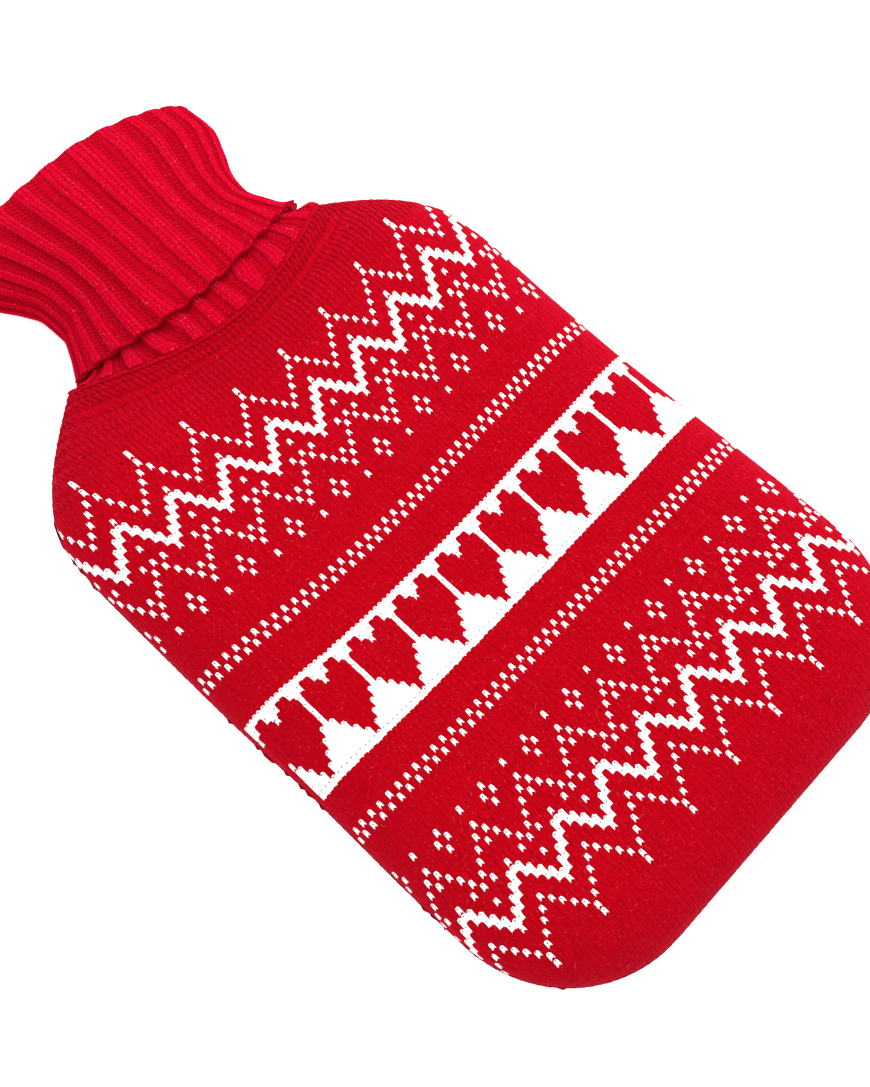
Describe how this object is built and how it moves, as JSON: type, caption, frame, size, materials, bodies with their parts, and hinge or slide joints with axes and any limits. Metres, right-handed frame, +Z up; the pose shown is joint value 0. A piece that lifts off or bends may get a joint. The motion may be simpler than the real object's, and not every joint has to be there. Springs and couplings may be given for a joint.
{
  "type": "knitted hot water bottle cover",
  "caption": "Hollow knitted cover with patterned front, plain back and a ribbed neck that folds down as a collar.",
  "frame": {"origin": "on the surface that the cover lies on, under the middle of its bounding box", "axes": "+X across the cover, +Y from the base edge to the mouth of the collar, +Z up through the patterned front"},
  "size_m": [0.2018, 0.367, 0.0379],
  "materials": {
    "front_knit": "soft jacquard knit in red and white wool blend, matt with a light fuzz",
    "back_knit": "plain red knit, matt with a light fuzz",
    "rib_knit": "wide red rib knit, thick and springy, matt with a light fuzz"
  },
  "bodies": {
    "root": {"front_panel": "front_knit", "back_panel": "back_knit", "rib_collar": "rib_knit"}
  },
  "joints": []
}
